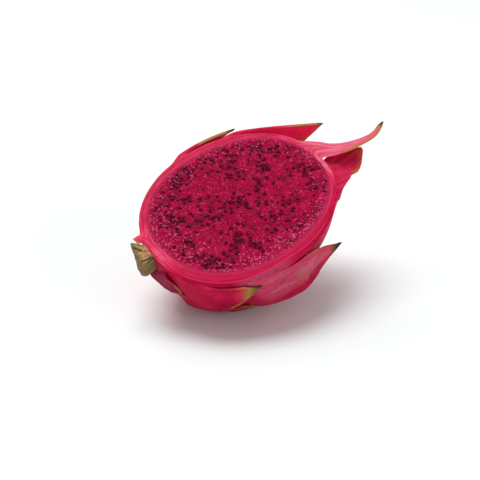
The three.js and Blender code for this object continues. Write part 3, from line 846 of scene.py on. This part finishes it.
def add_node(tree, kind, sockets=None, output=0, stops=(), **settings):
    """Adds a node and gives one of its outputs. Each of `sockets` is fed by another node's output
    or set to a value, a colour if it is hexadecimal. `stops` are the colours of its ramp."""
    made = tree.nodes.new("ShaderNode" + kind)
    for name, value in settings.items():
        setattr(made, name, value)
    for name, value in (sockets or {}).items():
        if isinstance(value, bpy.types.NodeSocket):
            tree.links.new(value, made.inputs[name])
        else:
            made.inputs[name].default_value = rgb(value) if isinstance(value, str) else value
    for _ in stops[2:]:
        made.color_ramp.elements.new(1)
    for index, (place, colour) in enumerate(stops):
        element = made.color_ramp.elements[index]
        element.position, element.color = place, rgb(colour)
    return made.outputs[output] if made.outputs else None


def new_material(name, *reads):
    """A material, its nodes, and what it reads of each point: its place on the fruit in
    millimetres, places to draw streaks by, and for the other names a share or a distance."""
    made = bpy.data.materials.new(name)
    made.use_nodes = True
    tree = made.node_tree
    tree.nodes.clear()
    return made, tree, *(add_node(tree, "Attribute", attribute_name=read,
                                  output="Vector" if read in PLACES else "Fac") for read in reads)


def finish_material(made, colour, coats, relief, sockets):
    """Lays coats over a colour, and gives the surface its relief and its shine. A coat is a colour,
    what it depends on, the values of that from which it starts and is full, and how strong it is.
    The relief is pairs of a pattern and its height in millimetres."""
    tree = made.node_tree
    for top, source, start, full, most in coats:
        share = add_node(tree, "MapRange", {"Value": source, "From Min": start, "From Max": full,
                                            "To Max": most}, interpolation_type="SMOOTHSTEP")
        colour = add_node(tree, "Mix", {0: share, 6: colour, 7: top}, 2, data_type="RGBA")
    shine = {"Base Color": colour, "Subsurface Scale": 1.0} | sockets
    for pattern, height in relief:
        raised = {"Height": pattern, "Distance": height * MM}
        if "Normal" in shine:
            raised["Normal"] = shine["Normal"]
        shine["Normal"] = add_node(tree, "Bump", raised)
    surface = add_node(tree, "BsdfPrincipled", shine)
    add_node(tree, "OutputMaterial", {"Surface": surface})
    return made


def peel_skin():
    """Waxy outer skin and bracts: crimson, mauve where the wax lies, which is partly a painted
    sheen, green margins and dry tips, paler at the crown and the stem with painted light on the far
    side and in the pale patches, painted shade on the first half of some bracts, and a painted glow
    on the inner face of thin ones.
    """
    made, tree, fruit, inner, green, dry, pale_and_lit, wax, cork, thin, deep = new_material(
        "waxy_peel", "fruit", "inner", "green", "dry", "pale_and_lit", "wax", "cork", "thin", "deep")
    lengthwise = add_node(tree, "VectorMath", {0: fruit, 1: (1 / 9, 1, 1)}, operation="MULTIPLY")
    # Sizes in millimetres. The skin's finest grain is finer, and drawn coarser so that it shows.
    blotch, spots, fine, streak = (
        add_node(tree, "TexNoise", {"Vector": place, "Scale": 1 / size, "Detail": detail})
        for place, size, detail in (
            (fruit, 11, 4), (fruit, 2.4, 2), (fruit, 0.7, 3), (lengthwise, 1.5, 3)))
    fibrous = add_node(tree, "TexNoise", {"Vector": lengthwise, "Scale": 1 / 3, "Detail": 5,
                                          "Roughness": 0.65})
    ragged = add_node(tree, "Math", {0: streak, 1: 0.55, 2: green}, operation="MULTIPLY_ADD")
    bloom_and_sheen, speckled, frost_and_sheen, corky = (
        add_node(tree, "Math", {0: pattern, 1: share}, operation="MULTIPLY")
        for pattern, share in ((blotch, wax), (spots, wax), (fibrous, wax), (spots, cork)))
    skin, face, shadow, withered = (
        add_node(tree, "ValToRGB", {"Fac": pattern}, stops=stops) for pattern, *stops in (
            (blotch, (0.3, "#97052f"), (0.5, "#b8093d"), (0.72, "#cc1c4a")),
            (streak, (0.3, "#b40836"), (0.7, "#d82a58")),
            (blotch, (0.35, "#5e0424"), (0.65, "#98103c")),
            (fine, (0.35, "#1d130e"), (0.7, "#3d2a1d"))))
    return finish_material(
        made, skin,
        # the mauve wax bloom and its pale frost, partly a painted sheen
        [("#be4262", bloom_and_sheen, 0.05, 0.4, 0.72),
         ("#d17c90", frost_and_sheen, 0.4, 0.74, 0.5),
         ("#8c5a4a", bloom_and_sheen, 0.54, 0.66, 0.5),
         ("#84103a", speckled, 0.54, 0.64, 0.5),
         ("#a2604e", corky, 0.25, 0.6, 0.6),
         # painted shade over the first half of some bracts
         (shadow, deep, 0, 1, 0.85),
         # paler at the crown and the stem, with painted light on the far side and in the pale
         # patches
         ("#d8486e", pale_and_lit, 0.3, 0.9, 0.4),
         (face, inner, 0, 1, 1),
         # painted glow on the inner face, as if light came through a thin bract
         ("#f6285a", thin, 0, 1, 0.85),
         ("#7a062a", streak, 0.48, 0.3, 0.12),
         ("#bd4a33", ragged, 0.5, 0.85, 0.8),
         ("#9c7f44", ragged, 0.76, 1.04, 0.85),
         ("#55561f", ragged, 1.02, 1.35, 0.85),
         ("#6e4526", dry, 0, 0.45, 1),
         (withered, dry, 0.4, 0.9, 1)],
        [(streak, 0.22), (fine, 0.12)],
        {"Roughness": 0.5, "Specular IOR Level": 0.05, "Subsurface Weight": 0.15,
         "Subsurface Radius": (0.004, 0.0004, 0.0006)})


def peel_cut():
    """Freshly cut peel, moist: crimson with long streaks round it and a pinker band at the flesh,
    paler at the crown and the stem, partly painted light on the far side and painted shade on the
    near side, and with a painted highlight line where it rounds off to the skin."""
    made, tree, fruit, rim, depth, green, dry, pale_and_lit, near, inside, from_flesh, wax = new_material(
        "moist_cut_peel", "fruit", "rim", "depth", "green", "dry", "pale_and_lit", "near", "inside",
        "from_flesh", "wax")
    # Sizes in millimetres for the first two. The grain of the cells is finer, and drawn coarser.
    grain, blotch, streak = (
        add_node(tree, "TexNoise", {"Vector": place, "Scale": scale, "Detail": 3})
        for place, scale in ((fruit, 1 / 1.1), (fruit, 1 / 8), (rim, 1.3)))
    ragged, line = (
        add_node(tree, "Math", {0: pattern, 1: most, 2: least}, operation="MULTIPLY_ADD")
        for pattern, most, least in ((blotch, 0.5, green), (pale_and_lit, 2.5, depth)))
    body, bright, light = (
        add_node(tree, "ValToRGB", {"Fac": pattern}, stops=stops) for pattern, *stops in (
            (blotch, (0.3, "#c0023c"), (0.7, "#dc154c")),
            (streak, (0.36, "#d01546"), (0.64, "#f5527a")),
            (streak, (0.35, "#dd3a62"), (0.65, "#ee7c92"))))
    # 0 on the flat of the cut, 1 on the shoulder that rounds off to the skin
    over_edge = add_node(tree, "MapRange", {"Value": inside, "From Min": 0.1, "From Max": -0.5},
                         interpolation_type="SMOOTHSTEP")
    rounded = add_node(tree, "Math", {0: over_edge, 1: near}, operation="MULTIPLY")
    bloom_and_sheen = add_node(tree, "Math", {0: rounded, 1: wax}, operation="MULTIPLY")
    # strongest halfway between two distances: from the shoulder, for the painted highlight along
    # the edge, and from the flesh, for the darker seam
    ridge, seam = (
        add_node(tree, "Math", {0: add_node(tree, "MapRange", {"Value": distance, "From Min": low,
                                                               "From Max": high}), 1: 0.5},
                 operation="PINGPONG")
        for distance, low, high in ((inside, -0.5, 0.7), (from_flesh, 1.6, 3.2)))
    ridge = add_node(tree, "Math", {0: ridge, 1: near}, operation="MULTIPLY")
    return finish_material(
        made, body,
        [("#cc2656", from_flesh, 2.6, 1.6, 0.7),
         ("#e83e66", streak, 0.6, 0.78, 0.4),
         ("#9a0233", streak, 0.45, 0.3, 0.4),
         ("#93002e", seam, 0.1, 0.45, 0.6),
         # darker on the near side, partly painted shade
         ("#ae083c", near, 0, 1, 0.45),
         # pale streaks at the crown and the stem, with painted light on the far side and in the
         # pale patches
         (bright, pale_and_lit, 0, 0.5, 0.75),
         (light, pale_and_lit, 0.35, 1, 0.9),
         ("#f59aa6", pale_and_lit, 0.9, 1.5, 0.8),
         ("#93052f", line, 0.6, 0.15, 0.8),
         ("#b80d40", rounded, 0, 1, 0.9),
         # the front bract's mauve wax bloom over the shoulder, partly a painted sheen
         ("#b4496a", bloom_and_sheen, 0, 0.8, 0.8),
         # painted highlight along the edge where the cut rounds off to the skin
         ("#f04470", ridge, 0.15, 0.45, 0.55),
         ("#cc6a42", ragged, 0.45, 0.8, 0.8),
         ("#b0824a", ragged, 0.75, 1.1, 0.85),
         ("#6e4526", dry, 0, 0.45, 1),
         ("#1d130e", dry, 0.4, 0.9, 1)],
        [(streak, 0.2), (grain, 0.12)],
        {"Roughness": 0.4, "Specular IOR Level": 0.04, "Subsurface Weight": 0.1,
         "Subsurface Radius": (0.003, 0.0004, 0.0006)})


def wet_flesh():
    """Wet, granular flesh: crimson juice cells, some of which glisten with a wet coat and painted
    glints, darker round the seeds.
    """
    made, tree, fruit, fibres, margin, shade, wet_and_glint = new_material(
        "wet_flesh", "fruit", "fibres", "margin", "seed_shade", "wet_and_glint")
    cells = {"Vector": fruit, "Scale": 1 / 0.75}  # the smallest juice cells are drawn coarser
    drawn = add_node(tree, "TexVoronoi", cells, "Color")
    lot = add_node(tree, "SeparateColor", {"Color": drawn})
    to_middle = add_node(tree, "TexVoronoi", cells, "Distance")
    grain, blotch, fibre = (
        add_node(tree, "TexNoise", {"Vector": place, "Scale": 1 / size, "Detail": 3})
        for place, size in ((fruit, 0.8), (fruit, 7), (fibres, 1)))
    # where juice cells glisten: sets both the wet coat and the painted glints
    coat_and_painted_glint = add_node(tree, "Math", {0: wet_and_glint, 1: lot})
    film = add_node(tree, "MapRange", {"Value": coat_and_painted_glint, "From Min": 0.92, "From Max": 1.06,
                                       "To Max": 0.15})
    pulp = add_node(tree, "ValToRGB", {"Fac": blotch},
                    stops=[(0.32, "#8e0030"), (0.5, "#b6003e"), (0.66, "#c8064a")])
    return finish_material(
        made, pulp,
        [("#50001b", grain, 0.54, 0.34, 0.85),
         ("#c42e62", grain, 0.55, 0.72, 0.5),
         ("#6a0026", fibre, 0.46, 0.34, 0.45),
         ("#cc2c60", fibre, 0.55, 0.7, 0.5),
         ("#47021a", shade, 0, 1, 0.6),
         # painted glints on the glistening juice cells
         ("#d65686", coat_and_painted_glint, 0.9, 1.05, 0.65),
         ("#c2305f", margin, 2.5, 0, 0.6)],
        [(to_middle, 0.35), (grain, 0.25), (fibre, 0.2)],
        {"Roughness": 0.42, "Specular IOR Level": 0.03, "Coat Roughness": 0.1,
         "Coat Weight": film, "Subsurface Weight": 0.1,
         "Subsurface Radius": (0.003, 0.0003, 0.0005)})


def seed_coat():
    """Hard seed coat under a film of juice and pulp: a dark maroon with a soft gloss, which keeps
    the seeds apart from the flesh without turning them black."""
    made, tree, fruit = new_material("glossy_seed", "fruit")
    patches = add_node(tree, "TexNoise", {"Vector": fruit, "Scale": 1 / 2.5})
    colour = add_node(tree, "ValToRGB", {"Fac": patches},
                      stops=[(0.35, "#320311"), (0.65, "#660a2c")])
    return finish_material(made, colour, [], [], {"Roughness": 0.35, "Specular IOR Level": 0.03})


def stem_bark():
    """Dry olive rind of the stem, ridged along it, reddish in patches."""
    made, tree, fruit = new_material("dry_stem_rind", "fruit")
    lengthwise = add_node(tree, "VectorMath", {0: fruit, 1: (1 / 6, 1, 1)}, operation="MULTIPLY")
    # Sizes in millimetres. The bark's finest grain is finer, and drawn coarser so that it shows.
    streak, blotch, fine = (
        add_node(tree, "TexNoise", {"Vector": place, "Scale": 1 / size, "Detail": 3})
        for place, size in ((lengthwise, 1.2), (fruit, 5), (fruit, 0.6)))
    colour = add_node(tree, "ValToRGB", {"Fac": streak},
                      stops=[(0.3, "#5c4a2c"), (0.5, "#7f7044"), (0.7, "#a08f5e")])
    return finish_material(made, colour, [("#96483f", blotch, 0.48, 0.66, 0.7)],
                           [(streak, 0.5), (fine, 0.25)], {"Roughness": 0.75})


def stem_pith():
    """Dried tan pith where the stem is cut, with near-black painted shade in its slits, and darker
    at the rind.
    """
    made, tree, fruit, depth, slit = new_material("dry_stem_pith", "fruit", "depth", "slit")
    lengthwise = add_node(tree, "VectorMath", {0: fruit, 1: (1 / 4, 1, 1)}, operation="MULTIPLY")
    grain = add_node(tree, "TexNoise", {"Vector": lengthwise, "Scale": 1 / 0.9, "Detail": 3})
    colour = add_node(tree, "ValToRGB", {"Fac": grain},
                      stops=[(0.3, "#9a6c42"), (0.5, "#bd8c5c"), (0.72, "#cfa273")])
    return finish_material(
        # darker towards the rind, and near-black painted shade in the slits
        made, colour, [("#857040", depth, 2.0, 0.5, 1), ("#1c120c", slit, 0, 1, 1)],
        [(grain, 0.4)], {"Roughness": 0.8})


def pale_floor():
    """Smooth matt white surface, barely mottled."""
    made, tree = new_material("matt_white")
    place = add_node(tree, "TexCoord", output="Object")
    mottle = add_node(tree, "TexNoise", {"Vector": place, "Scale": 3})
    colour = add_node(tree, "ValToRGB", {"Fac": mottle}, stops=[(0.3, "#f0f5f5"), (0.7, "#f2f7f7")])
    return finish_material(made, colour, [], [], {"Roughness": 0.6})


# ---- the pieces, laid down ----


SHARP = 50  # degrees at which an edge of a cut piece is drawn sharp
CUT_FACING, CUT_SUNK = 0.9, -0.8  # how straight up the faces on the cut look, and how low they lie


def lay_down(bm, name, cad_node, outside, cut=None):
    """A finished piece: `outside` covers it, and `cut` its faces on the cut."""
    for face in bm.faces:
        face.smooth = True
        if cut:
            level = face.calc_center_median().z > CUT_SUNK
            face.material_index = int(face.normal.z > CUT_FACING and level)
    bmesh.ops.transform(bm, matrix=LAY_DOWN, verts=bm.verts)
    piece = object_of(bm, name)
    for material in filter(None, (outside, cut)):
        piece.data.materials.append(material)
    if cut:
        piece.data.set_sharp_from_angle(angle=math.radians(SHARP))
    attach(piece, "root")
    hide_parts(cad_node)


lay_down(peel_mesh(), "peel_half", "peel", peel_skin(), peel_cut())
lay_down(flesh_mesh(), "flesh_half", "flesh", wet_flesh())
lay_down(seeds_mesh(), "seeds", "flesh", seed_coat())
lay_down(stem_mesh(), "stem_stub_dry", "stem_stub", stem_bark(), stem_pith())

# ---- surroundings, light and camera ----

FLOOR_SIZE = 14.0
SUN_FROM, SUN_SPREAD, SUN_POWER = (-0.25, 0.3, 1.1), 40, 2.1
# Softboxes: name, place, what they are aimed at, size and power.
SOFTBOXES = [("back", (-0.5, 0.9, 0.9), (0, 0, 0.03), 0.5, 2),
             ("front", (0.9, -0.7, 0.35), (0, 0, 0.04), 0.8, 3.5)]
CAMERA_DISTANCE = 0.75
CAMERA_HEIGHT = 23  # degrees above the horizon
LENS, SENSOR = 104.8, 36
SHIFT = (0.01, -0.07)
CLIP = (0.05, 100)

ground = bmesh.new()
bmesh.ops.create_grid(ground, x_segments=1, y_segments=1, size=FLOOR_SIZE / 2)
floor = object_of(ground, "floor")
floor.data.materials.append(pale_floor())

scene = bpy.context.scene
scene.view_settings.view_transform = "Standard"
scene.world = scene.world or bpy.data.worlds.new("surroundings")
scene.world.use_nodes = True
sky = scene.world.node_tree
sky.nodes.clear()
way = add_node(sky, "TexCoord")
height, to_back = (add_node(sky, "SeparateXYZ", {"Vector": way}, axis) for axis in "ZY")
back_light = add_node(sky, "MapRange", {"Value": to_back, "From Min": -1, "From Max": 0.2,
                                        "To Min": 0.6})
brightness = add_node(sky, "ValToRGB", {"Fac": height},
                      stops=[(0, "#f8f8f8"), (0.12, "#e8e8e8"), (0.4, "#b8b8b8"), (1, "#a0a0a0")])
light = add_node(sky, "Background", {"Color": brightness, "Strength": back_light})
add_node(sky, "OutputWorld", {"Surface": light})

for name, place, aim, size, power in SOFTBOXES:
    lamp = placed(name, bpy.data.lights.new(name, "AREA"))
    lamp.data.shape = "DISK"
    lamp.data.size = size
    lamp.data.energy = power
    lamp.location = place
    lamp.rotation_euler = (Vector(aim) - Vector(place)).to_track_quat("-Z", "Y").to_euler()

sun = placed("overhead", bpy.data.lights.new("overhead", "SUN"))
sun.data.angle = math.radians(SUN_SPREAD)
sun.data.energy = SUN_POWER
sun.rotation_euler = Vector(SUN_FROM).to_track_quat("Z", "Y").to_euler()

camera = placed("camera", bpy.data.cameras.new("camera"))
rise = math.radians(CAMERA_HEIGHT)
away = Vector((0, -math.cos(rise), math.sin(rise)))
camera.location = CUT_MIDDLE * MM + away * CAMERA_DISTANCE
camera.rotation_euler = (math.pi / 2 - rise, 0, 0)
camera.data.lens = LENS
camera.data.sensor_width = SENSOR
camera.data.shift_x, camera.data.shift_y = SHIFT
camera.data.clip_start, camera.data.clip_end = CLIP
scene.camera = camera
